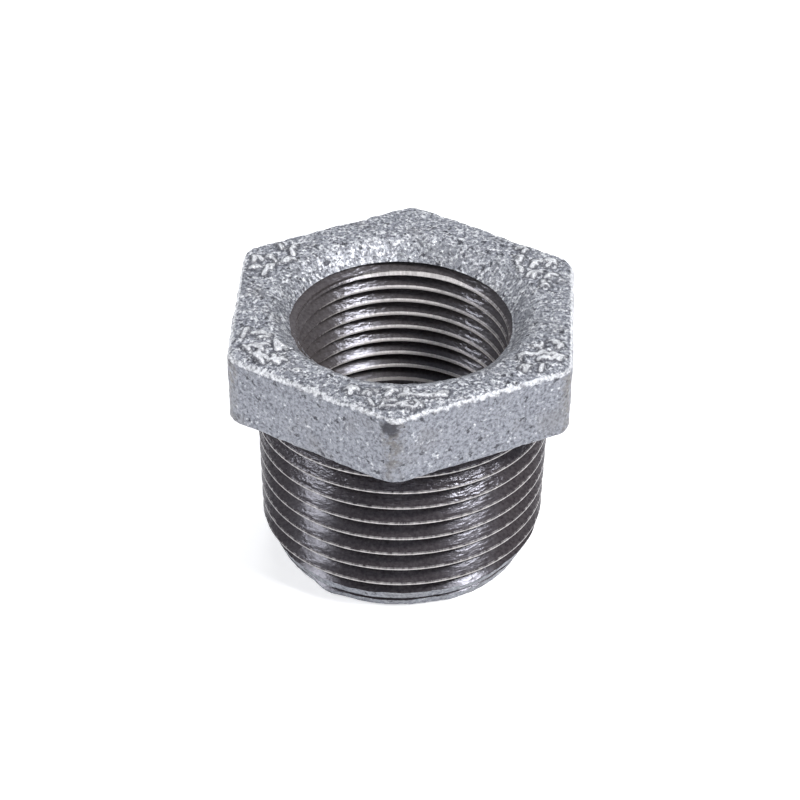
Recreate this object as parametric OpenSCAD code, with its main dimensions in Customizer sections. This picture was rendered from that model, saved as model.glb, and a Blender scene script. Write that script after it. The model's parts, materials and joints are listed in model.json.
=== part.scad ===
// Hexagon reducing bushing: a one-piece malleable-iron casting, hot-dip galvanized and then threaded.
// A tapered male thread outside goes into the larger fitting, a tapered female thread inside takes
// the smaller pipe, and a cast hexagon above them takes the wrench.
// Millimetres. +Z runs up the axis, and the origin is at the middle of the nose's end face.

/* [Head] */
// Width across the flats at the top of the hexagon
hex_across_flats = 38.1; // [37:0.1:44]
// Height of the hexagon
head_h = 8.7; // [5:0.1:14]
// How much narrower the hexagon is across its flats at the bottom, from the mould's draft
head_draft = 0.2; // [0:0.1:1.5]
// Radius of the six upright corners
corner_r = 2.5; // [1.5:0.1:5]
// Radius of the rounded edge round the top face
top_edge_r = 0.8; // [0.3:0.1:1.4]
// Radius of the rounded edge round the underside
under_edge_r = 0.4; // [0.2:0.1:1]

/* [Male thread] */
// Length from the underside of the hexagon to the end of the nose
shank_l = 22.9; // [18:0.1:32]
// Threads in an inch
male_tpi = 11.5; // [8:0.5:14]
// Diameter over the crests, at the hexagon
male_crest_d = 33.7; // [32.5:0.1:35]
// Width of the flat on a crest
male_crest_flat = 0.18; // [0.08:0.02:0.4]
// Width of the flat in a root
male_root_flat = 0.10; // [0.06:0.02:0.3]
// Length over which the thread runs out under the hexagon
male_runout = 2.0; // [0.5:0.1:4]
// Height of a crest above the nose's end face, on the side that faces -Y
male_start = 4.74; // [4:0.01:7]
// Height of the cone at the nose
nose_h = 4.0; // [2:0.1:6]
// Diameter of the nose at its end face
nose_d = 28.7; // [27:0.1:31]

/* [Female thread] */
// Threads in an inch
female_tpi = 14; // [11:0.5:18]
// Diameter over the roots, at the top face
female_root_d = 26.5; // [25.5:0.1:27.5]
// Width of the flat on a crest
female_crest_flat = 0.26; // [0.08:0.02:0.36]
// Width of the flat in a root
female_root_flat = 0.08; // [0.06:0.02:0.2]
// Depth of the thread below the top face
female_thread_l = 20; // [14:0.1:24]
// Length of that depth over which the thread runs out
female_runout = 3.2; // [1:0.1:5]
// Height of a crest below the top face, on the side that faces +Y
female_start = 3.43; // [2:0.01:4]
// Diameter of the hole that was drilled through before the thread was cut
bore_d = 23.0; // [22:0.1:24]

/* [Countersink] */
// Diameter at which the countersink's cone would reach the top face
sink_d = 29.4; // [28.5:0.1:32]
// Slope of the countersink's cone below the top face, in degrees
sink_angle = 45; // [35:1:55]
// Radius that rounds the cast rim between the top face and the cone
sink_rim_r = 2.5; // [0.5:0.1:3]

/* [Smoothness] */
// Straight steps in one turn of a thread
thread_steps = 44; // [24:4:60]

/* [Hidden] */

inch = 25.4;
flank_angle = 30;                 // half of the 60 degree thread angle
pipe_taper = 1 / 32;              // change of a pipe thread's radius for each millimetre of length
total_h = shank_l + head_h;
smooth = 120;                     // facets of a preview circle
round_steps = 4;                  // steps in the rounded edges of the hexagon
rim_steps = 5;                    // steps in the rounded rim of the countersink
corner_facets = 32;               // facets round one corner post of the hexagon

// A point of a profile that winds round the axis
function wound(r, angle, z) = [r * cos(angle), r * sin(angle), z];

// Depth of a thread whose flanks fill what the two flats leave of the pitch
function thread_depth(pitch, crest_flat, root_flat) =
    (pitch - crest_flat - root_flat) / (2 * tan(flank_angle));

// Radius over the male crests and in the male roots at height z
function male_taper_r(z) = male_crest_d / 2 - (shank_l - z) * pipe_taper;
function nose_r(z) = nose_d / 2 + z * (male_taper_r(nose_h) - nose_d / 2) / nose_h;
function male_crest_r(z) = min(male_taper_r(z), nose_r(z));
function male_root_r(z, depth) =
    min(male_taper_r(z) - depth * max(0, min(1, (shank_l - z) / male_runout)), nose_r(z));

// Radius in the female roots and over the female crests at height z
function female_taper_r(z) = female_root_d / 2 - (total_h - z) * pipe_taper;
function female_crest_r(z, depth) = female_taper_r(z) - depth;
function female_root_r(z, depth) =
    female_crest_r(z, depth) + depth * max(0, min(1, (z - total_h + female_thread_l) / female_runout));

// One closed solid under a helical surface. edges holds the heights, from 0 to one pitch, of the
// helical edges in one turn, and points holds them row by row as the helix climbs.
module helical_solid(points, edges, turns, z_low, z_high) {
    k = len(edges);
    last = turns * thread_steps;
    low = len(points);
    high = low + 1;
    sides = [for (j = [0 : last - 1]) for (e = [0 : k - 2])
        [j * k + e, j * k + e + 1, (j + 1) * k + e + 1, (j + 1) * k + e]];
    seams = [for (j = [0 : last - thread_steps - 1])
        [j * k + k - 1, (j + thread_steps) * k, (j + thread_steps + 1) * k, (j + 1) * k + k - 1]];
    bottom = concat([for (j = [0 : thread_steps]) j * k], [for (e = [k - 1 : -1 : 1]) e]);
    top = concat([for (j = [last - thread_steps : last]) j * k + k - 1],
        [for (e = [k - 2 : -1 : 0]) last * k + e]);
    bottom_fan = [for (i = [0 : len(bottom) - 1]) [low, bottom[i], bottom[(i + 1) % len(bottom)]]];
    top_fan = [for (i = [0 : len(top) - 1]) [high, top[(i + 1) % len(top)], top[i]]];
    polyhedron(concat(points, [[0, 0, z_low], [0, 0, z_high]]),
        concat(sides, seams, bottom_fan, top_fan), convexity = 12);
}

// The shank with its tapered thread, from below the nose's end face to inside the hexagon
module male_thread() {
    pitch = inch / male_tpi;
    depth = thread_depth(pitch, male_crest_flat, male_root_flat);
    rise = depth * tan(flank_angle);
    edges = [0, male_crest_flat, male_crest_flat + rise, pitch - rise];
    below = ceil((male_start + pitch) / pitch) + 1;
    z0 = male_start - male_crest_flat / 2 - below * pitch;
    turns = ceil((shank_l + 1 - z0) / pitch) + 1;
    points = [for (j = [0 : turns * thread_steps]) for (e = [0 : 3])
        let (z = z0 + pitch * j / thread_steps + edges[e])
        wound(e < 2 ? male_crest_r(z) : male_root_r(z, depth), -90 + 360 * j / thread_steps, z)];
    helical_solid(points, edges, turns, z0, z0 + turns * pitch);
}

// What the female thread takes out of the casting
module female_thread() {
    pitch = inch / female_tpi;
    depth = thread_depth(pitch, female_crest_flat, female_root_flat);
    rise = depth * tan(flank_angle);
    edges = [0, female_crest_flat, female_crest_flat + rise, pitch - rise];
    above = 2;
    turns = ceil((female_thread_l - female_start) / pitch) + above + 2;
    z0 = total_h - female_start - female_crest_flat / 2 - (turns - above) * pitch;
    points = [for (j = [0 : turns * thread_steps]) for (e = [0 : 3])
        let (z = z0 + pitch * j / thread_steps + edges[e])
        wound(e < 2 ? female_crest_r(z, depth) : female_root_r(z, depth), 90 + 360 * j / thread_steps, z)];
    helical_solid(points, edges, turns, z0, z0 + turns * pitch);
}

// One corner post of the hexagon, with the edge radii at its two ends and the mould's draft
module corner_post(x_low, x_high) {
    arc = [for (i = [0 : round_steps]) 90 * i / round_steps];
    low = concat([[0, 0]], [for (a = arc) [corner_r - under_edge_r * (1 - sin(a)), under_edge_r * (1 - cos(a))]]);
    high = concat([for (a = arc) [corner_r - top_edge_r * (1 - cos(a)), head_h - top_edge_r * (1 - sin(a))]],
        [[0, head_h]]);
    hull() {
        translate([x_low, 0, 0]) rotate_extrude($fn = corner_facets) polygon(concat(low, [[0, under_edge_r]]));
        translate([x_high, 0, 0])
            rotate_extrude($fn = corner_facets) polygon(concat([[0, head_h - top_edge_r]], high));
    }
}

// The cast hexagon, with a corner on each side of the Y axis
module head() {
    post_high = (hex_across_flats / 2 - corner_r) / cos(30);
    post_low = post_high - head_draft / 2 / cos(30);
    hull()
        for (a = [90 : 60 : 390])
            rotate([0, 0, a]) corner_post(post_low, post_high);
}

// The countersink with its rounded cast rim, down to the drilled hole
module countersink() {
    tangent = sink_rim_r * tan(sink_angle / 2);
    rim = [for (i = [0 : rim_steps]) let (a = sink_angle * i / rim_steps)
        [sink_d / 2 + tangent - sink_rim_r * sin(a), -sink_rim_r * (1 - cos(a))]];
    foot = [bore_d / 2, (bore_d - sink_d) / 2 * tan(sink_angle)];
    translate([0, 0, total_h])
        rotate_extrude($fn = smooth)
            polygon(concat([[0, 1], [sink_d / 2 + tangent, 1]], rim, [foot, [0, foot[1]]]));
}

module reducing_bushing() {
    color("lightsteelblue") difference() {
        union() {
            translate([0, 0, shank_l]) head();
            intersection() {
                male_thread();
                cylinder(r = male_crest_d, h = total_h - top_edge_r, $fn = smooth);
            }
        }
        translate([0, 0, -1]) cylinder(d = bore_d, h = total_h + 2, $fn = smooth);
        female_thread();
        countersink();
    }
}

reducing_bushing();
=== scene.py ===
"""Hexagon reducing bushing, dressed and set on a pale studio floor.

The casting is made first: a rough hexagon with its cast countersink, and a shank with its cone at the
nose. The tools then cut it as they do in the works: the die cuts the male thread, the drill and the
tap cut the bore. What the tools leave alone keeps its zinc, and what they touch is bare iron.
Metres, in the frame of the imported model: +Z up the axis, origin in the middle of the nose's end face.
"""

import json
import math
import random

import bmesh
import bpy
from bpy.props import FloatProperty, FloatVectorProperty, IntProperty, PointerProperty
from mathutils import Matrix, Vector, noise


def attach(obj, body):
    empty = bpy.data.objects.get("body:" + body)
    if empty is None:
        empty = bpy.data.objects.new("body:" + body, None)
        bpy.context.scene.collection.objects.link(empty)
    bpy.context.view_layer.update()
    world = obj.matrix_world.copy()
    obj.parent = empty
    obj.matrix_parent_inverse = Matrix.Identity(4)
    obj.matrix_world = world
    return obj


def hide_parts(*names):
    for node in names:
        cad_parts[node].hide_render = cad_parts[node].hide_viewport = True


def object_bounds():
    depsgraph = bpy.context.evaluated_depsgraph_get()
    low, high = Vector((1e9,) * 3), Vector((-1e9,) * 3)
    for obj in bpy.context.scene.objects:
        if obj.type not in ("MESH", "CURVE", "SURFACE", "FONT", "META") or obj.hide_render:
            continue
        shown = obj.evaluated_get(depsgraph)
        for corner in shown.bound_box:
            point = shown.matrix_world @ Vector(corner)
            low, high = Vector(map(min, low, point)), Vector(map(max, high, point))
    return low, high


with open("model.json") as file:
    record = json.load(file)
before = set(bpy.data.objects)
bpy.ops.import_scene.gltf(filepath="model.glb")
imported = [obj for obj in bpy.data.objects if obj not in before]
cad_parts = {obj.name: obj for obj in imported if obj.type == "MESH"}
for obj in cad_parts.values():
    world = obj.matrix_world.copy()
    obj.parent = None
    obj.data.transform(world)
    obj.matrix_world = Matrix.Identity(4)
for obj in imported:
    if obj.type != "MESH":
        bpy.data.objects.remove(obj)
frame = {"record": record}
CAD_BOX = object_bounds()

bl_info = {
    "name": "Galvanized Reducing Bushing",
    "version": (1, 0, 0),
    "blender": (4, 5, 0),
    "location": "View3D > Sidebar > Bushing",
    "description": "Builds a galvanized hexagon reducing bushing with cut pipe threads, and its studio",
    "category": "Add Mesh",
}

MM = 0.001
INCH = 0.0254
PIPE_TAPER = 1 / 32           # change of a pipe thread's radius for each metre of length
HALF_SIDE = math.radians(30)  # half of the angle that one side of the hexagon spans
CORE = 10 * MM                # a radius inside the hole that the drill takes out of the casting
FAR = 1.0                     # metres, further than any pattern reaches
IMAGE_PX = 800                # the photograph's frame is square
MOUNTS = {mount["name"]: mount for mount in frame["record"]["mounts"]}

# Each marked corner of the top face: its angle in degrees, the rows and columns of its marks, and their
# shortest and longest stroke in millimetres.
MARKED_CORNERS = ((-90, 2, 6, 0.7, 1.5), (-30, 3, 3, 0.7, 1.4), (30, 4, 4, 0.6, 1.2),
                  (150, 3, 3, 0.6, 1.2), (210, 3, 3, 0.9, 2.4))
MARK_SPACING = (1.9, 2.3)     # millimetres between the columns and between the rows of the marks
STROKES_A_MARK = 3
STROKE_TURNS = (0, 0, 60, 90, 130)  # the ways that strokes run, in degrees


def linear(hex_colour):
    """An sRGB hex colour as the linear values that Blender works with."""
    channels = [int(hex_colour[i:i + 2], 16) / 255 for i in (1, 3, 5)]
    return tuple(c / 12.92 if c <= 0.04045 else ((c + 0.055) / 1.055) ** 2.4 for c in channels)


def length(name, mm, description):
    """A size property in metres, with its default given in millimetres."""
    return FloatProperty(name=name, description=description, default=mm * MM, min=0.0, precision=5,
                         unit="LENGTH")


def colour(name, hex_colour, description):
    """A colour property with its default given as sRGB hex."""
    return FloatVectorProperty(name=name, description=description, default=linear(hex_colour),
                               subtype="COLOR", size=3, min=0.0, max=1.0)


class CastingSizes(bpy.types.PropertyGroup):
    """Sizes of the raw casting."""
    flats: length("Across flats", (CAD_BOX[1].x - CAD_BOX[0].x) / MM,
                  "Hexagon across its flats, at the top")
    height: length("Height", CAD_BOX[1].z / MM, "From the nose's end face to the top face")
    head: length("Head height", 8.7, "Height of the hexagon")
    draft: length("Draft", 0.2, "How much narrower the hexagon is across its flats at the bottom")
    corner: length("Corner radius", 2.5, "Radius of the six upright corners")
    top_edge: length("Top edge", 0.8, "Radius of the edge round the top face")
    under_edge: length("Under edge", 0.35, "Radius of the edge round the underside")
    sink: length("Countersink", 29.4, "Diameter at which the countersink's cone meets the top face")
    sink_rim: length("Countersink rim", 2.5, "Radius that rounds the rim of the countersink")
    nose: length("Nose", 28.7, "Diameter of the nose at its end face")
    nose_height: length("Nose height", 4.0, "Height of the cone at the nose")
    mark: length("Raised marks", 0.42, "Height of the raised strokes on the top face")
    skin: length("Skin", 0.22, "Spacing of the points on the cast skin")


class ThreadSizes(bpy.types.PropertyGroup):
    """Sizes of the two threads and of the drilled hole."""
    male_tpi: FloatProperty(name="Male threads in an inch", description="Threads in an inch outside",
                            default=11.5, min=8)
    male_crest: length("Male crests", 33.7, "Diameter over the male crests at the hexagon")
    male_depth: length("Male depth", 1.67, "Depth of the male thread")
    male_flat: length("Male crest flat", 0.24, "Width of the burnished flat on a male crest")
    male_start: length("Male start", 4.74, "Height of a male crest on the side that faces -Y")
    male_runout: length("Male run-out", 2.0, "Length over which the male thread runs out")
    female_tpi: FloatProperty(name="Female threads in an inch", description="Threads in an inch inside",
                              default=14, min=11)
    female_root: length("Female roots", 26.5, "Diameter over the female roots at the top face")
    female_depth: length("Female depth", 1.277, "Depth of the female thread")
    female_flat: length("Female crest flat", 0.30, "Width of the burnished flat on a female crest")
    female_start: length("Female start", 3.43, "Depth of a female crest on the side that faces +Y")
    female_length: length("Female length", 20.0, "Depth of the female thread below the top face")
    female_runout: length("Female run-out", 3.2, "Length over which the female thread runs out")
    drill: length("Drill", 2 * MOUNTS["female_thread"]["dims"]["r_mm"], "Diameter of the drilled hole")
    mouth: length("Mouth", 24.45, "Diameter to which the pilot opens the mouth of the bore")
    mouth_depth: length("Mouth depth", 3.2, "Depth of the opened mouth below the top face")
    steps: IntProperty(name="Steps", description="Straight steps in one turn", default=216, min=48)


class Finish(bpy.types.PropertyGroup):
    """Colours of the zinc skin and of the cut iron."""
    # Besides the bloom it paints glints on it, the paler countersink as painted light, and highlights
    # on the raised strokes and along the top edge.
    zinc_light: colour("Zinc, light", "#F6F7FA", "Bright bloom of the zinc")
    zinc_mid: colour("Zinc, middle", "#A4A7AF", "Most of the zinc skin")
    # It also paints the shade on the sides, where the grain stops short of the middle zinc.
    zinc_dark: colour("Zinc, dark", "#6E7079", "Hollows of the zinc skin")
    # It also paints the shade round the raised strokes and at -X in the countersink.
    zinc_speck: colour("Zinc, specks", "#3D3D44", "Pin holes and dross in the zinc")
    # It also colours the darker brownish band on the upright corners.
    zinc_stain: colour("Zinc, stain", "#6E6A67", "Faint rust stain in the zinc")
    iron_flank: colour("Iron, flanks", "#2C2426", "Oiled flanks of the threads")
    # Its light colour on the crests is partly a painted highlight, and it lifts the bore's flanks as
    # painted fill light.
    iron_crest: colour("Iron, crests", "#ECE7E4", "Burnished crests of the threads")


class StudioSettings(bpy.types.PropertyGroup):
    """Floor, room and lamps."""
    floor: colour("Floor", "#F2F2F2", "Colour of the floor")
    room: colour("Room", "#B0B2B8", "Colour of the room at the height of the floor")
    ceiling: colour("Ceiling", "#878A91", "Colour of the room overhead")
    lamps: FloatProperty(name="Lamps", description="Strength of all the lamps together", default=1.0,
                         min=0.0)


def make_object(name, bm):
    """An object at the origin that takes the bmesh's shape."""
    mesh = bpy.data.meshes.new(name)
    bm.to_mesh(mesh)
    bm.free()
    made = bpy.data.objects.new(name, mesh)
    bpy.context.scene.collection.objects.link(made)
    return made


def settle(made):
    """Applies the object's modifiers to its mesh."""
    graph = bpy.context.evaluated_depsgraph_get()
    mesh = bpy.data.meshes.new_from_object(made.evaluated_get(graph))
    made.modifiers.clear()
    made.data = mesh


def combine(made, tool, operation):
    """Cuts, joins or keeps the common part of two closed shapes, and drops the second."""
    cut = made.modifiers.new(operation.lower(), "BOOLEAN")
    cut.operation, cut.object, cut.solver = operation, tool, "MANIFOLD"
    settle(made)
    bpy.data.objects.remove(tool)


def spun(profile, steps, rings=0.0):
    """A closed round shape from (radius, height, fine) points that start and end on the axis.

    Where rings is given, the stretch after a fine point is divided into rings no longer than that.
    """
    points = [Vector((profile[0][0], 0, profile[0][1]))]
    for (r0, z0, fine), (r1, z1, _) in zip(profile, profile[1:]):
        parts = max(1, math.ceil(math.hypot(r1 - r0, z1 - z0) / rings)) if rings and fine else 1
        start, end = Vector((r0, 0, z0)), Vector((r1, 0, z1))
        points += [start.lerp(end, (i + 1) / parts) for i in range(parts)]
    bm = bmesh.new()
    verts = [bm.verts.new(p) for p in points]
    edges = [bm.edges.new(pair) for pair in zip(verts, verts[1:])]
    bmesh.ops.spin(bm, geom=verts + edges, cent=(0, 0, 0), axis=(0, 0, 1), angle=2 * math.pi,
                   steps=steps, use_merge=True, use_duplicate=False)
    bmesh.ops.remove_doubles(bm, verts=bm.verts, dist=1e-7)
    bmesh.ops.recalc_face_normals(bm, faces=bm.faces)
    return bm


def male_taper(z, casting, threads):
    """Radius over the male crests at height z."""
    return threads.male_crest / 2 - (casting.height - casting.head - z) * PIPE_TAPER


def female_taper(z, casting, threads):
    """Radius over the female roots at height z."""
    return threads.female_root / 2 - (casting.height - z) * PIPE_TAPER


def corner_reach(casting, radius):
    """How far from the axis an upright corner of the hexagon reaches when it has that radius."""
    return (casting.flats / 2 - radius) / math.cos(HALF_SIDE) + radius


def cast_marks(bm, casting):
    """Worn raised strokes near five corners of the top face, where a foundry casts its marks.

    Returns where each stroke lies, with half of its length and half of its width.
    """
    dice = random.Random(11)
    corner_out = corner_reach(casting, 0.0)
    middle_out = (casting.sink / 2 + corner_out) / 2 - 0.5 * MM
    nearest, furthest = casting.sink / 2 + 0.7 * MM, corner_out - 1.1 * MM
    side_out = casting.flats / 2 - 1.0 * MM
    ways = [Vector((math.cos(a), math.sin(a), 0)) for a in (0, math.pi / 3, 2 * math.pi / 3)]
    strokes = []
    for corner, rows, columns, shortest, longest in MARKED_CORNERS:
        out = Vector((math.cos(math.radians(corner)), math.sin(math.radians(corner)), 0))
        lean = dice.uniform(-10, 10)
        for i in range(STROKES_A_MARK * rows * columns):
            row, column = divmod(i // STROKES_A_MARK, columns)
            x = (column - (columns - 1) / 2) * MARK_SPACING[0] + dice.uniform(-0.45, 0.45)
            y = (row - (rows - 1) / 2) * MARK_SPACING[1] + dice.uniform(-0.6, 0.6)
            aside = Matrix.Rotation(math.radians(lean), 3, "Z") @ Vector((x, y, 0)) * MM
            middle = out * middle_out + aside
            angle = math.radians(lean + dice.choice(STROKE_TURNS) + dice.uniform(-12, 12))
            turn = Matrix.Rotation(angle, 3, "Z")
            stroke, wide = dice.uniform(shortest, longest) * MM, dice.uniform(0.36, 0.6) * MM
            ends = [middle + turn @ Vector((side * stroke / 2, 0, 0)) for side in (-1, 1)]
            if any(end.length < nearest or end.length > furthest
                   or max(abs(end.dot(way)) for way in ways) > side_out for end in ends):
                continue
            place = Matrix.Translation(middle + Vector((0, 0, casting.height))) @ turn.to_4x4()
            size = Matrix.Diagonal((stroke, wide, 2 * casting.mark * dice.uniform(0.7, 1.05), 1))
            bmesh.ops.create_cube(bm, size=1.0, matrix=place @ size)
            strokes.append((place.inverted(), stroke / 2, wide / 2))
    return strokes


def cast_head(casting):
    """The cast hexagon with its countersink, raised marks and rough skin."""
    bm = bmesh.new()
    top_out = corner_reach(casting, 0.0)
    low_out = top_out - casting.draft / 2 / math.cos(HALF_SIDE)
    low_z = casting.height - casting.head
    base = bmesh.ops.create_circle(bm, cap_ends=True, segments=6, radius=low_out)
    bmesh.ops.translate(bm, verts=base["verts"], vec=(0, 0, low_z))
    raised = bmesh.ops.extrude_face_region(bm, geom=bm.faces[:], use_keep_orig=True)["geom"]
    tops = [v for v in raised if isinstance(v, bmesh.types.BMVert)]
    grow = top_out / low_out
    bmesh.ops.scale(bm, verts=tops, vec=(grow, grow, 1))
    bmesh.ops.translate(bm, verts=tops, vec=(0, 0, casting.head))
    bmesh.ops.recalc_face_normals(bm, faces=bm.faces)
    uprights = [e for e in bm.edges if abs(e.verts[0].co.z - e.verts[1].co.z) > casting.head / 2]
    bmesh.ops.bevel(bm, geom=uprights, offset=casting.corner * math.tan(HALF_SIDE), segments=6,
                    profile=0.5, affect="EDGES", material=-1, offset_type="OFFSET")
    for z, radius in ((casting.height, casting.top_edge), (low_z, casting.under_edge)):
        rim = [e for e in bm.edges if all(abs(v.co.z - z) < 1e-6 for v in e.verts)]
        bmesh.ops.bevel(bm, geom=rim, offset=radius, segments=4, profile=0.5, affect="EDGES",
                        material=-1, offset_type="OFFSET")
    head = make_object("head", bm)

    # The countersink's cone slopes at 45 degrees, and its rim is rounded in eight steps.
    slope, rim_steps, top = 45, 8, casting.height
    tangent = casting.sink_rim * math.tan(math.radians(slope) / 2)
    rim = [(casting.sink / 2 + tangent - casting.sink_rim * math.sin(a),
            top - casting.sink_rim * (1 - math.cos(a)), True)
           for a in (math.radians(slope * i / rim_steps) for i in range(rim_steps + 1))]
    foot_z = top - (casting.sink / 2 - CORE) * math.tan(math.radians(slope))
    clear_z = top + 1 * MM
    profile = [(0, clear_z, False), (casting.sink / 2 + tangent, clear_z, False)] + rim
    profile += [(CORE, foot_z, False), (0, foot_z, False)]
    combine(head, make_object("countersink", spun(profile, 180)), "DIFFERENCE")

    bm = bmesh.new()
    bm.from_mesh(head.data)
    strokes = cast_marks(bm, casting)
    bm.to_mesh(head.data)
    bm.free()
    remesh = head.modifiers.new("skin", "REMESH")
    remesh.mode, remesh.voxel_size, remesh.adaptivity = "VOXEL", casting.skin, 0.0
    settle(head)
    roughen(head, evening=0.3)
    return head, strokes


def cast_roughness(p, upward):
    """How far a sand-cast and zinc-dipped skin stands out at a point, in metres.

    upward is 1 on a face that faced up in the zinc bath, where the dross settles. The patterns are
    shifted against each other, so that their hollows don't line up.
    """
    waves = noise.noise(p / (7 * MM)) * 0.11
    lumps = noise.noise(p / (1.7 * MM)) * 0.08
    pits = -0.10 * max(0.0, noise.noise(p / (0.95 * MM) + Vector((31, 7, 3))) - 0.42) / 0.3
    grain = noise.noise(p / (0.55 * MM) + Vector((5, 90, 12))) * 0.05
    return (waves + (lumps + grain) * (1 + 0.7 * upward) + pits) * MM


def roughen(made, evening):
    """Evens out a cast skin by that share, then moves its points in and out along their normals."""
    bm = bmesh.new()
    bm.from_mesh(made.data)
    if evening:
        bmesh.ops.smooth_vert(bm, verts=bm.verts, factor=evening, use_axis_x=True, use_axis_y=True,
                              use_axis_z=True)
    bm.normal_update()
    moves = [(v, v.co + v.normal * cast_roughness(v.co, max(0.0, v.normal.z))) for v in bm.verts]
    for v, place in moves:
        v.co = Vector((place.x, place.y, max(place.z, 0.0)))
    bm.to_mesh(made.data)
    bm.free()


def cast_shank(casting, threads):
    """The raw shank: the cone at the nose, and a body a little thicker than the finished thread."""
    stock, edge, into_head = 0.5 * MM, 0.5 * MM, 2.5 * MM
    raw, nose = threads.male_crest / 2 + stock, casting.nose / 2
    nose_top = male_taper(casting.nose_height, casting, threads)
    slope = (nose_top - nose) / casting.nose_height
    inside = casting.height - casting.head + into_head
    round_edge = [(nose - edge + edge * math.sin(a), edge * (1 - math.cos(a)), True)
                  for a in (math.radians(15 * i) for i in range(5))]
    profile = [(0, 0, False), (CORE, 0, True)] + round_edge
    profile += [(raw, (raw - nose) / slope, False), (raw, inside, False), (0, inside, False)]
    shank = make_object("shank", spun(profile, 320, rings=0.28 * MM))
    roughen(shank, evening=0.0)
    # The gate broke off at the nose's edge and left a low stub.
    stub_height, stub_width = 0.55 * MM, 1.5 * MM
    gate = Matrix.Rotation(math.radians(-122), 3, "Z") @ Vector((nose, 0, 0.6 * MM))
    for v in shank.data.vertices:
        if v.co.xy.length > CORE:
            swell = stub_height * math.exp(-((v.co - gate).length / stub_width) ** 2)
            v.co += Vector((v.co.x, v.co.y, 0)).normalized() * swell
    return shank


def helix(pitch, edges, radius, start_z, start_angle, low, high, steps):
    """A closed helical thread between two heights.

    edges are the heights of the helical edges within one pitch, with the depth fraction of each, and
    radius(z, fraction) gives the radius there. One turn is spun, then repeated up the axis, with spare
    turns that are cut off at the two heights.
    """
    spare = 2
    turn = Matrix.Rotation(start_angle, 3, "Z")
    first = math.floor((low - start_z) / pitch) - spare
    turns = math.ceil((high - low) / pitch) + 2 * spare
    bm = bmesh.new()
    layer = bm.verts.layers.float.new("depth")
    verts = [bm.verts.new(turn @ Vector((radius(0, fraction), 0, start_z + first * pitch + z)))
             for z, fraction in edges + [(edges[0][0] + pitch, edges[0][1])]]
    wire = [bm.edges.new(pair) for pair in zip(verts, verts[1:])]
    for v, (_, fraction) in zip(verts, edges + [edges[0]]):
        v[layer] = fraction
    bmesh.ops.spin(bm, geom=verts + wire, cent=(0, 0, 0), axis=(0, 0, 1), dvec=(0, 0, pitch / steps),
                   angle=2 * math.pi, steps=steps, use_merge=False, use_duplicate=False)
    one = bm.verts[:] + bm.edges[:] + bm.faces[:]
    for i in range(1, turns):
        copy = bmesh.ops.duplicate(bm, geom=one)["geom"]
        moved = [v for v in copy if isinstance(v, bmesh.types.BMVert)]
        bmesh.ops.translate(bm, verts=moved, vec=(0, 0, i * pitch))
    bmesh.ops.remove_doubles(bm, verts=bm.verts, dist=0.01 * MM)
    for v in bm.verts:
        out = Vector((v.co.x, v.co.y, 0)).normalized() * radius(v.co.z, v[layer])
        v.co = Vector((out.x, out.y, v.co.z))
    for z, side in ((low, -1), (high, 1)):
        everything = bm.verts[:] + bm.edges[:] + bm.faces[:]
        bmesh.ops.bisect_plane(bm, geom=everything, dist=1e-7, plane_co=(0, 0, z),
                               plane_no=(0, 0, side), clear_outer=True)
    bmesh.ops.holes_fill(bm, edges=[e for e in bm.edges if e.is_boundary], sides=0)
    bmesh.ops.recalc_face_normals(bm, faces=bm.faces)
    return bm


def thread_edges(pitch, flat, broken):
    """Heights and depth fractions of a thread's helical edges, with its crest's corners broken.

    broken is the width of the bevel that stands for each broken corner.
    """
    root = 0.10 * MM
    rise = (pitch - flat - root) / 2
    inner, outer = flat / 2 - 0.4 * broken, flat / 2 + 0.6 * broken
    drop = (outer - flat / 2) / rise
    return [(-inner, 0.0), (inner, 0.0), (outer, drop), (flat / 2 + rise, 1.0),
            (pitch - flat / 2 - rise, 1.0), (pitch - outer, drop)]


def male_die(casting, threads):
    """The space inside the die: the finished male thread, without the nose's cone."""
    pitch = INCH / threads.male_tpi
    under_head = casting.height - casting.head

    def radius(z, fraction):
        shallow = max(0.0, min(1.0, (under_head - z) / threads.male_runout))
        return male_taper(z, casting, threads) - threads.male_depth * fraction * shallow

    edges = thread_edges(pitch, threads.male_flat, broken=0.12 * MM)
    bm = helix(pitch, edges, radius, start_z=threads.male_start, start_angle=-math.pi / 2,
               low=-1 * MM, high=under_head + 2 * MM, steps=threads.steps)
    return make_object("male_die", bm)


def female_tap(casting, threads):
    """What the tap takes out of the bore."""
    pitch = INCH / threads.female_tpi
    end = casting.height - threads.female_length

    def radius(z, fraction):
        full = max(0.0, min(1.0, (z - end) / threads.female_runout))
        return female_taper(z, casting, threads) - threads.female_depth * (1 - fraction * full)

    edges = thread_edges(pitch, threads.female_flat, broken=0.16 * MM)
    bm = helix(pitch, edges, radius, start_z=casting.height - threads.female_start,
               start_angle=math.pi / 2, low=end - 3 * MM, high=casting.height + 1 * MM,
               steps=threads.steps)
    return make_object("female_tap", bm)


def drill_and_pilot(casting, threads):
    """What the drill takes out, with the wider pilot of the countersink at the mouth."""
    bore, mouth = threads.drill / 2, threads.mouth / 2
    low, step, high = -2 * MM, casting.height - threads.mouth_depth, casting.height + 2 * MM
    profile = [(0, low, False), (bore, low, False), (bore, step - (mouth - bore), False),
               (mouth, step, False), (mouth, high, False), (0, high, False)]
    return make_object("drill", spun(profile, 240))


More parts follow.
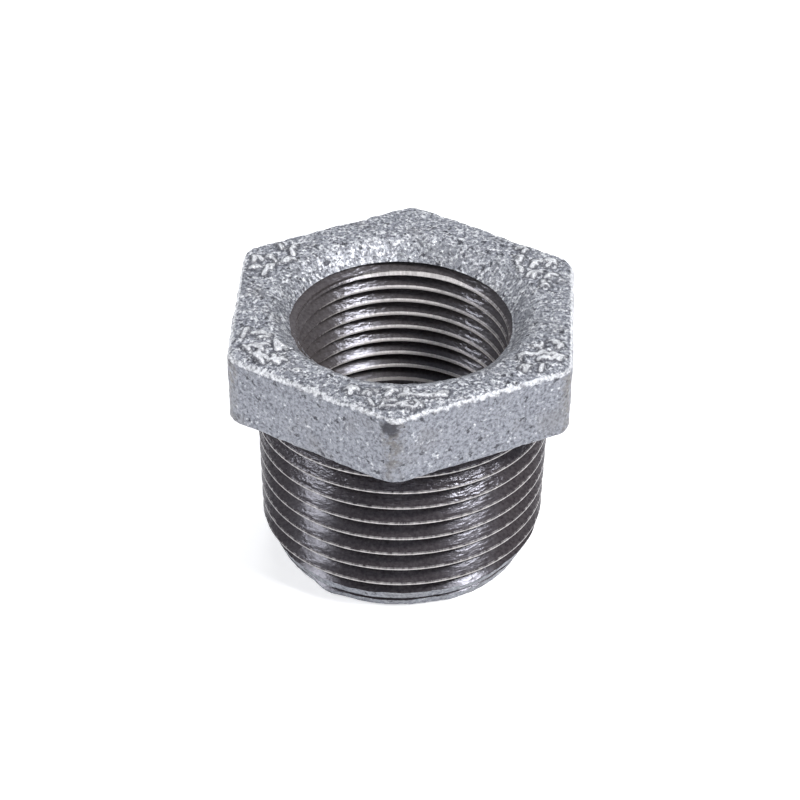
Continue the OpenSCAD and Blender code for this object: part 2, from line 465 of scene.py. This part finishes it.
def crest_burnish_and_highlight(middle, casting, threads):
    """How burnished a face of the cut iron is, with a painted highlight, by where its middle lies: 0 if
    it is on no crest.

    The crests are brightest at the front and the back and duller at the sides, in the bore most at -X:
    a painted highlight and painted shade on top of the burnish.
    """
    r, z = math.hypot(middle.x, middle.y), middle.z
    # bright is how squarely the face looks along ±Y; it paints a highlight on the crests there.
    bright = (middle.y / r) ** 2
    if r > casting.nose / 2 - 0.5 * MM:
        on_crest = male_taper(z, casting, threads) - r < 0.12 * MM
        return 0.58 + 0.09 * bright if on_crest else 0.0
    above = z - (casting.height - threads.mouth_depth)
    bored = max(threads.drill / 2, threads.mouth / 2 + min(0.0, above))
    crest_r = max(female_taper(z, casting, threads) - threads.female_depth, bored)
    if r - crest_r >= 0.17 * MM:
        return 0.0
    end = casting.height - threads.female_length
    share = max(0.0, min(1.0, (z - end) / (2.6 * MM))) if above < 0.05 * MM else 0.55
    # The bore's crests are painted brighter facing ±Y and duller at -X: painted highlight and shade.
    return share * (0.42 + 0.58 * bright + 0.18 * middle.x / r)


def mark_crests(made, casting, threads):
    """Writes how burnished each face of the cut iron is, with the painted highlight on its crests, and
    sets the sharp edges.
    """
    level, upright = 0.82, 0.2    # a normal's z on a face across the axis, and on one along it
    slope_share = 0.7             # a crest's broken corners are burnished less than its flat
    zinc_crease, iron_crease = math.radians(60), math.radians(16)
    bm = bmesh.new()
    bm.from_mesh(made.data)
    burnished = bm.faces.layers.float.new("burnished")
    for f in bm.faces:
        f.smooth = True
        if f.material_index and abs(f.normal.z) <= level:
            share = crest_burnish_and_highlight(f.calc_center_median(), casting, threads)
            f[burnished] = share * (1.0 if abs(f.normal.z) < upright else slope_share)
    for e in bm.edges:
        if len(e.link_faces) == 2:
            both_zinc = all(f.material_index == 0 for f in e.link_faces)
            e.smooth = e.calc_face_angle(0.0) < (zinc_crease if both_zinc else iron_crease)
    bm.to_mesh(made.data)
    bm.free()


def mark_skin(made, casting, strokes):
    """Writes how far each point near the top face is from the outline and from a raised stroke."""
    mesh = made.data
    near_edge = mesh.attributes.new("outline_gap", "FLOAT", "POINT").data
    near_stroke = mesh.attributes.new("stroke_gap", "FLOAT", "POINT").data
    flat_out, top_z = casting.flats / 2, casting.height
    ways = [Vector((math.cos(a), math.sin(a))) for a in (math.radians(60 * i) for i in range(6))]
    posts = [Vector((math.cos(a), math.sin(a))) * (flat_out - casting.corner) / math.cos(HALF_SIDE)
             for a in (math.radians(60 * i + 30) for i in range(6))]
    for v in mesh.vertices:
        at, edge, gap = v.co.xy, -FAR, FAR
        if v.co.z > top_z - 0.9 * MM and at.length > casting.sink / 2:
            edge = flat_out - max(at.dot(way) for way in ways)
            post = min(posts, key=lambda middle: (at - middle).length)
            if at.length > post.length and abs(at.normalized().cross(post)) < casting.corner / 2:
                edge = casting.corner - (at - post).length
            if v.co.z > top_z - 0.4 * MM:
                for back, half, half_width in strokes:
                    spot = back @ v.co
                    gap = min(gap, math.hypot(max(abs(spot.x) - half, 0), spot.y) - half_width)
        near_edge[v.index].value, near_stroke[v.index].value = edge, gap


def add_node(tree, kind, inputs=None, **settings):
    """Adds one node, sets its properties, and fills or links its inputs.

    Inputs go by name, or by number where names repeat: 0, 1 and 2 are the operands of a Math or Vector
    Math node, and a Mix node has its factor at 0 and two numbers at 2 and 3 or two colours at 6 and 7.
    A node that is given as an input stands for its first output.
    """
    node = tree.nodes.new(kind)
    for key, value in settings.items():
        setattr(node, key, value)
    for socket, value in (inputs or {}).items():
        if isinstance(value, bpy.types.Node):
            value = value.outputs[0]
        if isinstance(value, bpy.types.NodeSocket):
            tree.links.new(value, node.inputs[socket])
        else:
            node.inputs[socket].default_value = value
    return node


def per_mm(size):
    """The Scale that gives a noise features of that many millimetres."""
    return 1 / (size * MM)


def rgba(three):
    """Four colour values from three."""
    return (*three, 1.0)


def new_material(name):
    """An empty node material and its tree."""
    material = bpy.data.materials.new(name)
    material.use_nodes = True
    material.node_tree.nodes.clear()
    return material, material.node_tree


def zinc_zones(tree, casting):
    """Where a point lies on the casting, by name.

    top is 1 on the top face, narrow is 1 within the countersink's edge at any height, sunk is 1 in the
    countersink, and rough is 1 on the top face and in the countersink.
    """
    rim, height = casting.sink / 2, casting.height
    place = add_node(tree, "ShaderNodeTexCoord").outputs["Object"]
    spot = add_node(tree, "ShaderNodeSeparateXYZ", {0: place})
    flat = add_node(tree, "ShaderNodeVectorMath", {0: place, 1: (1, 1, 0)}, operation="MULTIPLY")
    reach = add_node(tree, "ShaderNodeVectorMath", {0: flat}, operation="LENGTH")
    top = add_node(tree, "ShaderNodeMapRange",
                   {"Value": spot.outputs[2], "From Min": height - 0.5 * MM,
                    "From Max": height - 0.15 * MM})
    narrow = add_node(tree, "ShaderNodeMapRange",
                      {"Value": reach.outputs["Value"], "From Min": rim + 1.2 * MM, "From Max": rim})
    above = add_node(tree, "ShaderNodeMapRange",
                     {"Value": spot.outputs[2], "From Min": height - 5 * MM,
                      "From Max": height - 4 * MM})
    sunk = add_node(tree, "ShaderNodeMath", {0: narrow, 1: above}, operation="MULTIPLY")
    rough = add_node(tree, "ShaderNodeMath", {0: top, 1: sunk}, operation="MAXIMUM")
    return {"place": place, "x": spot.outputs[0], "reach": reach.outputs["Value"],
            "top": top, "narrow": narrow, "sunk": sunk, "rough": rough}


def zinc_patterns(tree, zones):
    """The patterns in the zinc, by name, from its broad drift to its grain and its pin holes.

    fine is 1 on the grain's fine lumps on top and stops short of 1 on the sides, which paints
    shade on the sides; lumps is high where zinc gathered, and stroke_gap is the distance from a
    raised stroke, made ragged by the lumps.
    """
    place = zones["place"]
    drift = add_node(tree, "ShaderNodeTexNoise", {"Vector": place, "Scale": per_mm(4.5), "Detail": 2.0})
    mottle = add_node(tree, "ShaderNodeTexNoise",
                      {"Vector": place, "Scale": per_mm(0.75), "Detail": 3.0, "Roughness": 0.6})
    grain = add_node(tree, "ShaderNodeTexNoise",
                     {"Vector": place, "Scale": per_mm(0.36), "Detail": 3.0, "Roughness": 0.65})
    cells = add_node(tree, "ShaderNodeTexVoronoi",
                     {"Vector": place, "Scale": per_mm(1.5), "Randomness": 1.0})
    # The grain reaches only 0.78 of the way to the middle zinc on the sides: painted shade there.
    most = add_node(tree, "ShaderNodeMath",
                    {0: zones["top"], 1: 0.22, 2: 0.78}, operation="MULTIPLY_ADD")
    fine = add_node(tree, "ShaderNodeMapRange",
                    {"Value": grain, "From Min": 0.33, "From Max": 0.62, "To Max": most},
                    interpolation_type="SMOOTHSTEP")
    both = add_node(tree, "ShaderNodeMix", {0: 0.55, 2: mottle, 3: grain})
    lumps = add_node(tree, "ShaderNodeMath",
                     {0: zones["rough"], 1: 0.085, 2: both}, operation="MULTIPLY_ADD")
    torn = add_node(tree, "ShaderNodeMath",
                    {0: grain, 1: 0.9, 2: cells.outputs["Distance"]}, operation="MULTIPLY_ADD")
    pits = add_node(tree, "ShaderNodeMapRange",
                    {"Value": torn, "From Min": 0.67, "From Max": 0.55, "To Max": 0.8},
                    interpolation_type="SMOOTHSTEP")
    gap = add_node(tree, "ShaderNodeAttribute", attribute_name="stroke_gap").outputs["Fac"]
    ragged = add_node(tree, "ShaderNodeMath", {0: both, 1: 1.4 * MM, 2: gap}, operation="MULTIPLY_ADD")
    return {"drift": drift, "mottle": mottle, "grain": grain, "fine": fine, "lumps": lumps,
            "pits": pits, "stroke_gap": ragged}


def clean_zinc(tree, finish, zones, patterns):
    """The clean zinc's colour, darker between its fine lumps and, as painted shade, on the sides."""
    body = add_node(tree, "ShaderNodeMix",
                    {0: patterns["fine"], 6: rgba(finish.zinc_dark), 7: rgba(finish.zinc_mid)},
                    data_type="RGBA")
    # The bloom is the brighter zinc that gathered in lumps, mostly on top.
    # Its near-white is partly a painted glint on those lumps.
    bloom_and_painted_glint_at = add_node(tree, "ShaderNodeMapRange",
                        {"Value": patterns["lumps"], "From Min": 0.577, "From Max": 0.707,
                         "To Max": 0.9}, interpolation_type="SMOOTHSTEP")
    bloom = add_node(tree, "ShaderNodeMix",
                     {0: bloom_and_painted_glint_at, 6: body.outputs[2], 7: rgba(finish.zinc_light)}, data_type="RGBA")
    # The countersink is painted paler: painted light on it.
    painted_sink_light_at = add_node(tree, "ShaderNodeMath", {0: zones["sunk"], 1: 0.10}, operation="MULTIPLY")
    pale = add_node(tree, "ShaderNodeMix",
                    {0: painted_sink_light_at, 6: bloom.outputs[2], 7: rgba(finish.zinc_light)}, data_type="RGBA")
    return pale.outputs[2]


def stain(tree, finish, casting, zones, patterns, under):
    """Adds a darker brownish band on the upright corners, and a faint rust stain in some patches, to
    the colour under it.
    """
    corner_out = corner_reach(casting, casting.corner)
    corner_at = add_node(tree, "ShaderNodeMapRange",
                         {"Value": zones["reach"], "From Min": corner_out - 0.45 * MM,
                          "From Max": corner_out})
    uneven = add_node(tree, "ShaderNodeMapRange",
                      {"Value": patterns["mottle"], "From Min": 0.38, "From Max": 0.60})
    corner_band_at = add_node(tree, "ShaderNodeMath", {0: corner_at, 1: uneven}, operation="MULTIPLY")
    patch_at = add_node(tree, "ShaderNodeMapRange",
                        {"Value": patterns["drift"], "From Min": 0.54, "From Max": 0.74, "To Max": 0.3})
    stain_at = add_node(tree, "ShaderNodeMath", {0: corner_band_at, 1: patch_at}, operation="MAXIMUM")
    stained = add_node(tree, "ShaderNodeMix",
                       {0: stain_at, 6: under, 7: rgba(finish.zinc_stain)}, data_type="RGBA")
    return stained.outputs[2]


def dross(tree, finish, casting, zones, patterns, under):
    """Adds the dark dross, the pin holes, a dark patch, and painted shade round the raised strokes and
    at
    -X in the countersink, to the colour under them.
    """
    # There is most dross on top. At -X in the countersink the dark specks are thicker: painted shade.
    side = add_node(tree, "ShaderNodeMapRange",
                    {"Value": zones["x"], "From Min": -5 * MM, "From Max": -13 * MM})
    painted_sink_shade = add_node(tree, "ShaderNodeMath", {0: side, 1: zones["sunk"]}, operation="MULTIPLY")
    usual = add_node(tree, "ShaderNodeMath",
                     {0: zones["rough"], 1: 0.075, 2: 0.385}, operation="MULTIPLY_ADD")
    least = add_node(tree, "ShaderNodeMath", {0: painted_sink_shade, 1: 0.12, 2: usual}, operation="MULTIPLY_ADD")
    speck_at = add_node(tree, "ShaderNodeMapRange",
                        {"Value": patterns["grain"], "From Min": least, "From Max": 0.28,
                         "To Max": 0.75}, interpolation_type="SMOOTHSTEP")
    holes = add_node(tree, "ShaderNodeMath", {0: speck_at, 1: patterns["pits"]}, operation="MAXIMUM")
    # A dark patch lies below the top edge of the front corner.
    front_dark_patch = (-0.5 * MM, -corner_reach(casting, casting.corner), casting.height - 1.2 * MM)
    off = add_node(tree, "ShaderNodeVectorMath", {0: zones["place"], 1: front_dark_patch}, operation="DISTANCE")
    ragged = add_node(tree, "ShaderNodeMath",
                      {0: patterns["mottle"], 1: -1.6 * MM, 2: off.outputs["Value"]},
                      operation="MULTIPLY_ADD")
    front_dark_patch_at = add_node(tree, "ShaderNodeMapRange",
                         {"Value": ragged, "From Min": 0.5 * MM, "From Max": -0.1 * MM, "To Max": 0.9})
    dark_at = add_node(tree, "ShaderNodeMath", {0: holes, 1: front_dark_patch_at}, operation="MAXIMUM")
    # A dark ring round the raised strokes is painted shade.
    painted_stroke_shade = add_node(tree, "ShaderNodeMapRange",
                      {"Value": patterns["stroke_gap"], "From Min": 1.2 * MM, "From Max": 0.85 * MM,
                       "To Max": 0.68})
    dross_and_shade_at = add_node(tree, "ShaderNodeMath", {0: dark_at, 1: painted_stroke_shade}, operation="MAXIMUM")
    dross_and_shade = add_node(tree, "ShaderNodeMix",
                     {0: dross_and_shade_at, 6: under, 7: rgba(finish.zinc_speck)}, data_type="RGBA")
    return dross_and_shade.outputs[2]


def rubbed_zinc_and_highlight(tree, finish, patterns, under):
    """Adds bright wear and painted highlights on the raised strokes and along the top face's edge to
    the colour under it.
    """
    # The raised strokes are lightened as wear and as a painted highlight.
    stroke_at = add_node(tree, "ShaderNodeMapRange",
                         {"Value": patterns["stroke_gap"], "From Min": 0.74 * MM,
                          "From Max": 0.60 * MM})
    polish = add_node(tree, "ShaderNodeMapRange", {"Value": patterns["fine"], "To Min": 0.5})
    strokes = add_node(tree, "ShaderNodeMath", {0: stroke_at, 1: polish}, operation="MULTIPLY")
    # The band along the top face's edge is a painted highlight line, broken by wear.
    gap = add_node(tree, "ShaderNodeAttribute", attribute_name="outline_gap").outputs["Fac"]
    wavy = add_node(tree, "ShaderNodeMath",
                    {0: patterns["mottle"], 1: 0.6 * MM, 2: gap}, operation="MULTIPLY_ADD")
    outer = add_node(tree, "ShaderNodeMapRange",
                     {"Value": wavy, "From Min": 0.32 * MM, "From Max": 0.42 * MM})
    inner = add_node(tree, "ShaderNodeMapRange",
                     {"Value": wavy, "From Min": 0.74 * MM, "From Max": 0.60 * MM})
    band = add_node(tree, "ShaderNodeMath", {0: outer, 1: inner}, operation="MULTIPLY")
    wear = add_node(tree, "ShaderNodeMapRange",
                    {"Value": patterns["fine"], "To Min": 0.3, "To Max": 0.95})
    edge = add_node(tree, "ShaderNodeMath", {0: band, 1: wear}, operation="MULTIPLY")
    wear_and_highlight_at = add_node(tree, "ShaderNodeMath", {0: edge, 1: strokes}, operation="MAXIMUM")
    wear_and_highlight = add_node(tree, "ShaderNodeMix",
                      {0: wear_and_highlight_at, 6: under, 7: rgba(finish.zinc_light)}, data_type="RGBA")
    return wear_and_highlight.outputs[2]


def hot_dip_zinc(finish, casting):
    """Hot-dip zinc on sand-cast iron: a dull blue-grey metal skin, mottled by the dross and the sand.

    It is rougher and brighter on top, where it faced up in the bath, its sides painted darker as shade,
    and bright on the raised marks and the top edge with wear and painted highlights.
    """
    material, tree = new_material("hot_dip_zinc_on_sand_cast_iron")
    zones = zinc_zones(tree, casting)
    patterns = zinc_patterns(tree, zones)
    skin = clean_zinc(tree, finish, zones, patterns)
    skin = stain(tree, finish, casting, zones, patterns, skin)
    skin = dross(tree, finish, casting, zones, patterns, skin)
    skin = rubbed_zinc_and_highlight(tree, finish, patterns, skin)
    gloss = add_node(tree, "ShaderNodeMapRange",
                     {"Value": patterns["lumps"], "From Min": 0.48, "From Max": 0.66, "To Min": 0.48,
                      "To Max": 0.32})
    # The relief is strongest on top and stronger in the countersink than on the sides.
    inner = add_node(tree, "ShaderNodeMath",
                     {0: zones["narrow"], 1: 0.4, 2: 0.5}, operation="MULTIPLY_ADD")
    relief = add_node(tree, "ShaderNodeMath",
                      {0: zones["top"], 1: 1.2, 2: inner}, operation="MULTIPLY_ADD")
    coarse = add_node(tree, "ShaderNodeMath",
                      {0: patterns["mottle"], 1: 0.8, 2: patterns["grain"]}, operation="MULTIPLY_ADD")
    pitted = add_node(tree, "ShaderNodeMath",
                      {0: patterns["pits"], 1: -0.5, 2: coarse}, operation="MULTIPLY_ADD")
    rise = add_node(tree, "ShaderNodeMath", {0: pitted, 1: relief}, operation="MULTIPLY")
    bump = add_node(tree, "ShaderNodeBump", {"Height": rise, "Strength": 1.0, "Distance": 0.16 * MM})
    shader = add_node(tree, "ShaderNodeBsdfPrincipled",
                      {"Base Color": skin, "Metallic": 0.55, "Roughness": gloss, "Normal": bump})
    add_node(tree, "ShaderNodeOutputMaterial", {"Surface": shader})
    return material


def cut_iron(finish, casting):
    """Die-cut malleable iron: dark oiled flanks with the die's chatter, and burnished crests.

    The crests' light colour is partly a painted highlight, and in the bore the flanks are painted
    lighter as fill light.
    """
    material, tree = new_material("die_cut_malleable_iron_thread")
    wall_out, wall_in = casting.nose / 2, casting.nose / 2 - 0.6 * MM  # between the shank and the bore
    bump_depth, lean_outside, lean_inside, ring_r = 0.12 * MM, -0.30, 0.14, 15 * MM
    place = add_node(tree, "ShaderNodeTexCoord").outputs["Object"]
    crest = add_node(tree, "ShaderNodeAttribute", attribute_name="burnished").outputs["Fac"]
    flat = add_node(tree, "ShaderNodeVectorMath", {0: place, 1: (1, 1, 0)}, operation="MULTIPLY")
    out = add_node(tree, "ShaderNodeVectorMath", {0: flat}, operation="NORMALIZE")
    ring = add_node(tree, "ShaderNodeVectorMath", {0: out, "Scale": ring_r}, operation="SCALE")
    reach = add_node(tree, "ShaderNodeVectorMath", {0: flat}, operation="LENGTH")
    inside = add_node(tree, "ShaderNodeMapRange",
                      {"Value": reach.outputs["Value"], "From Min": wall_out, "From Max": wall_in})
    # The die leaves fine lines along the thread: slow round the axis, quick across the flank.
    across = add_node(tree, "ShaderNodeCombineXYZ", {2: reach.outputs["Value"]})
    slow = add_node(tree, "ShaderNodeVectorMath",
                    {0: ring, 1: (0.28, 0.28, 0), 2: across}, operation="MULTIPLY_ADD")
    lines = add_node(tree, "ShaderNodeTexNoise",
                     {"Vector": slow, "Scale": per_mm(0.34), "Detail": 1.0, "Roughness": 0.5})
    # Its chatter lies across the thread: quick round the axis, slow across the flank.
    lift = add_node(tree, "ShaderNodeVectorMath",
                    {0: place, 1: (0, 0, 0.35), 2: ring}, operation="MULTIPLY_ADD")
    chatter = add_node(tree, "ShaderNodeTexNoise",
                       {"Vector": lift, "Scale": per_mm(0.5), "Detail": 2.0, "Roughness": 0.6})
    tears = add_node(tree, "ShaderNodeTexNoise",
                     {"Vector": place, "Scale": per_mm(0.4), "Detail": 2.0, "Roughness": 0.6})
    shade_at = add_node(tree, "ShaderNodeMapRange",
                        {"Value": tears, "From Min": 0.3, "From Max": 0.7, "To Max": 0.05})
    # In the bore the flanks are mixed a little towards the crest colour, painted fill light against the
    # shade there; the tears lighten them a little at random.
    painted_bore_light_and_tears = add_node(tree, "ShaderNodeMath", {0: inside, 1: 0.04, 2: shade_at}, operation="MULTIPLY_ADD")
    flank = add_node(tree, "ShaderNodeMix",
                     {0: painted_bore_light_and_tears, 6: rgba(finish.iron_flank), 7: rgba(finish.iron_crest)},
                     data_type="RGBA")
    # The crests' light colour is their burnish and partly a painted highlight.
    ragged = add_node(tree, "ShaderNodeMath", {0: chatter, 1: 0.4, 2: crest}, operation="MULTIPLY_ADD")
    burnish_and_highlight_at = add_node(tree, "ShaderNodeMapRange",
                    {"Value": ragged, "From Min": 0.60, "From Max": 0.95, "To Max": 0.95})
    base = add_node(tree, "ShaderNodeMix",
                    {0: burnish_and_highlight_at, 6: flank.outputs[2], 7: rgba(finish.iron_crest)}, data_type="RGBA")
    both = add_node(tree, "ShaderNodeMath", {0: tears, 1: 0.5, 2: lines}, operation="MULTIPLY_ADD")
    rise = add_node(tree, "ShaderNodeMath", {0: chatter, 1: 0.25, 2: both}, operation="MULTIPLY_ADD")
    # These marks are deepest where the die stopped, below the hexagon, and shallow in the bore.
    spot = add_node(tree, "ShaderNodeSeparateXYZ", {0: place})
    stop = casting.height - casting.head
    near = add_node(tree, "ShaderNodeMapRange",
                    {"Value": spot.outputs[2], "From Min": stop - 9 * MM, "From Max": stop - 4 * MM,
                     "To Min": 0.3, "To Max": 1.2})
    outside = add_node(tree, "ShaderNodeMath", {0: inside, 1: -0.6, 2: near}, operation="MULTIPLY_ADD")
    share = add_node(tree, "ShaderNodeMath", {0: outside, 1: 0.28}, operation="MAXIMUM")
    marks = add_node(tree, "ShaderNodeMath", {0: rise, 1: share}, operation="MULTIPLY")
    # The flanks are rounded over towards their crests, which a steady lean of the surface stands for.
    lean = add_node(tree, "ShaderNodeMapRange",
                    {"Value": reach.outputs["Value"], "From Min": wall_in, "From Max": wall_out,
                     "To Min": lean_inside / bump_depth, "To Max": lean_outside / bump_depth})
    height = add_node(tree, "ShaderNodeMath",
                      {0: reach.outputs["Value"], 1: lean, 2: marks}, operation="MULTIPLY_ADD")
    bump = add_node(tree, "ShaderNodeBump", {"Height": height, "Strength": 1.0, "Distance": bump_depth})
    sheen = add_node(tree, "ShaderNodeMath", {0: burnish_and_highlight_at, 1: 0.15}, operation="MULTIPLY")
    dull = add_node(tree, "ShaderNodeMath", {0: burnish_and_highlight_at, 1: 0.22, 2: 0.24}, operation="MULTIPLY_ADD")
    shader = add_node(tree, "ShaderNodeBsdfPrincipled",
                      {"Base Color": base.outputs[2], "Metallic": sheen, "Roughness": dull,
                       "Specular IOR Level": 0.75, "Specular Tint": rgba(linear("#F0F0FF")),
                       "Normal": bump})
    add_node(tree, "ShaderNodeOutputMaterial", {"Surface": shader})
    return material


class BUSHING_OT_casting(bpy.types.Operator):
    """Casts the blank, cuts its threads and bore, and gives the piece its zinc and its cut iron"""
    bl_idname = "bushing.casting"
    bl_label = "Make the Bushing"

    def execute(self, context):
        casting, threads = context.scene.bushing_casting, context.scene.bushing_threads
        finish = context.scene.bushing_finish
        zinc, iron = hot_dip_zinc(finish, casting), cut_iron(finish, casting)
        die, tap = male_die(casting, threads), female_tap(casting, threads)
        drill = drill_and_pilot(casting, threads)
        piece = cast_shank(casting, threads)
        head, strokes = cast_head(casting)
        for made, cut_by_tool in ((piece, 0), (head, 0), (die, 1), (tap, 1), (drill, 1)):
            made.data.materials.clear()
            made.data.materials.append(zinc)
            made.data.materials.append(iron)
            made.data.polygons.foreach_set("material_index", [cut_by_tool] * len(made.data.polygons))
        combine(piece, die, "INTERSECT")
        combine(piece, head, "UNION")
        combine(piece, tap, "DIFFERENCE")
        combine(piece, drill, "DIFFERENCE")
        if not piece.data.polygons:
            raise RuntimeError("the cuts left nothing of the casting")
        mark_crests(piece, casting, threads)
        mark_skin(piece, casting, strokes)
        piece.name = piece.data.name = "galvanized_reducing_bushing"
        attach(piece, "root")
        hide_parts("reducing_bushing")
        return {"FINISHED"}


def lamp(name, towards, distance, size, radiance):
    """A square area lamp that faces the bushing, of that brightness as the metal reflects it."""
    data = bpy.data.lights.new(name, "AREA")
    data.shape, data.size = "SQUARE", size
    data.energy = radiance * math.pi * size ** 2
    made = bpy.data.objects.new(name, data)
    made.location = Vector(towards).normalized() * distance
    made.rotation_euler = (-made.location).to_track_quat("-Z", "Y").to_euler()
    bpy.context.scene.collection.objects.link(made)


def studio_floor(settings):
    """A wide floor that takes the bushing's shadow, and looks white to the camera and in the metal."""
    bm = bmesh.new()
    bmesh.ops.create_grid(bm, x_segments=8, y_segments=8, size=4.0)
    floor = make_object("floor", bm)
    # It lies a hair lower than the nose, so that the two faces don't mix.
    floor.data.transform(Matrix.Translation((0, 0, -0.02 * MM)))
    material, tree = new_material("matt_white_paper_sweep")
    path = add_node(tree, "ShaderNodeLightPath").outputs
    mirror = add_node(tree, "ShaderNodeMath",
                      {0: path["Is Glossy Ray"], 1: path["Is Transmission Ray"]}, operation="MAXIMUM")
    seen = add_node(tree, "ShaderNodeMath", {0: path["Is Camera Ray"], 1: mirror}, operation="MAXIMUM")
    paper = add_node(tree, "ShaderNodeBsdfDiffuse", {"Color": rgba(settings.floor)})
    glow = add_node(tree, "ShaderNodeEmission", {"Color": rgba(settings.floor), "Strength": 0.6})
    lifted = add_node(tree, "ShaderNodeAddShader", {0: paper, 1: glow})
    mixed = add_node(tree, "ShaderNodeMixShader", {0: seen, 1: paper, 2: lifted})
    add_node(tree, "ShaderNodeOutputMaterial", {"Surface": mixed})
    floor.data.materials.append(material)


def studio_room(settings):
    """A grey room that is dimmer overhead than at the height of the floor."""
    world = bpy.data.worlds.new("studio_room")
    world.use_nodes = True
    tree = world.node_tree
    tree.nodes.clear()
    way = add_node(tree, "ShaderNodeTexCoord").outputs["Generated"]
    parts = add_node(tree, "ShaderNodeSeparateXYZ", {0: way})
    high = add_node(tree, "ShaderNodeMapRange",
                    {"Value": parts.outputs[2], "From Min": 0.0, "From Max": 0.1},
                    interpolation_type="SMOOTHSTEP")
    tone = add_node(tree, "ShaderNodeMix",
                    {0: high, 6: rgba(settings.room), 7: rgba(settings.ceiling)}, data_type="RGBA")
    back = add_node(tree, "ShaderNodeBackground", {"Color": tone.outputs[2], "Strength": 1.0})
    add_node(tree, "ShaderNodeOutputWorld", {"Surface": back})
    bpy.context.scene.world = world


def studio_camera():
    """The camera where the photograph was taken from, with its slight tilt."""
    turn, rise, tilt = math.radians(2.41), math.radians(35.64), math.radians(0.623)
    distance, aim = 355.4 * MM, Vector((0, 0, 18.5 * MM))
    sensor_mm, focal_px, shift_px = 36.0, 3097.9, (-3.05, 1.84)
    back = Vector((math.sin(turn) * math.cos(rise), -math.cos(turn) * math.cos(rise), math.sin(rise)))
    across = Vector((math.cos(turn), math.sin(turn), 0))
    up = back.cross(across)
    right = across * math.cos(tilt) + up * math.sin(tilt)
    data = bpy.data.cameras.new("camera")
    data.sensor_width, data.lens = sensor_mm, sensor_mm * focal_px / IMAGE_PX
    data.shift_x, data.shift_y = shift_px[0] / IMAGE_PX, shift_px[1] / IMAGE_PX
    data.clip_start, data.clip_end = 0.01, 20.0
    camera = bpy.data.objects.new("camera", data)
    camera.matrix_world = Matrix((right, back.cross(right), back)).transposed().to_4x4()
    camera.location = aim + back * distance
    bpy.context.scene.collection.objects.link(camera)
    bpy.context.scene.camera = camera


class BUSHING_OT_studio(bpy.types.Operator):
    """Sets the floor, the room, the lamps and the camera"""
    bl_idname = "bushing.studio"
    bl_label = "Set Up the Studio"

    def execute(self, context):
        settings = context.scene.bushing_studio
        studio_floor(settings)
        studio_room(settings)
        studio_camera()
        for name, towards, distance, size, radiance in (
                ("right_softbox", (0.59, -0.28, 0.74), 1.2, 0.32, 37.0),
                ("left_softbox", (-0.78, -0.17, 0.60), 1.2, 0.30, 13.0),
                ("front_softbox", (0.03, -0.90, 0.44), 1.3, 0.26, 3.0),
                ("back_softbox", (-0.10, 0.74, 0.66), 1.4, 0.50, 3.5),
                ("top_softbox", (0.10, 0.35, 0.93), 1.3, 0.80, 2.3)):
            lamp(name, towards, distance, size, radiance * settings.lamps)
        view = context.scene.view_settings
        view.view_transform = "Standard"
        return {"FINISHED"}


class BUSHING_PT_panel(bpy.types.Panel):
    """Sizes, finishes and the steps that make the bushing"""
    bl_idname = "BUSHING_PT_panel"
    bl_label = "Reducing Bushing"
    bl_space_type = "VIEW_3D"
    bl_region_type = "UI"
    bl_category = "Bushing"

    def draw(self, context):
        for title, group in (("Casting", context.scene.bushing_casting),
                             ("Threads", context.scene.bushing_threads),
                             ("Finish", context.scene.bushing_finish),
                             ("Studio", context.scene.bushing_studio)):
            box = self.layout.box()
            box.label(text=title)
            for key in group.__annotations__:
                box.prop(group, key)
        self.layout.operator(BUSHING_OT_casting.bl_idname)
        self.layout.operator(BUSHING_OT_studio.bl_idname)


CLASSES = (CastingSizes, ThreadSizes, Finish, StudioSettings, BUSHING_OT_casting, BUSHING_OT_studio,
           BUSHING_PT_panel)
GROUPS = {"bushing_casting": CastingSizes, "bushing_threads": ThreadSizes, "bushing_finish": Finish,
          "bushing_studio": StudioSettings}


def register():
    """Registers the classes, and gives the scene their settings."""
    for made in CLASSES:
        bpy.utils.register_class(made)
    for name, group in GROUPS.items():
        setattr(bpy.types.Scene, name, PointerProperty(type=group))


def unregister():
    """Takes the settings and the classes away again."""
    for name in GROUPS:
        delattr(bpy.types.Scene, name)
    for made in reversed(CLASSES):
        bpy.utils.unregister_class(made)


def main():
    """Makes the bushing and its studio."""
    register()
    bpy.ops.bushing.casting()
    bpy.ops.bushing.studio()


if __name__ == "__main__":
    main()
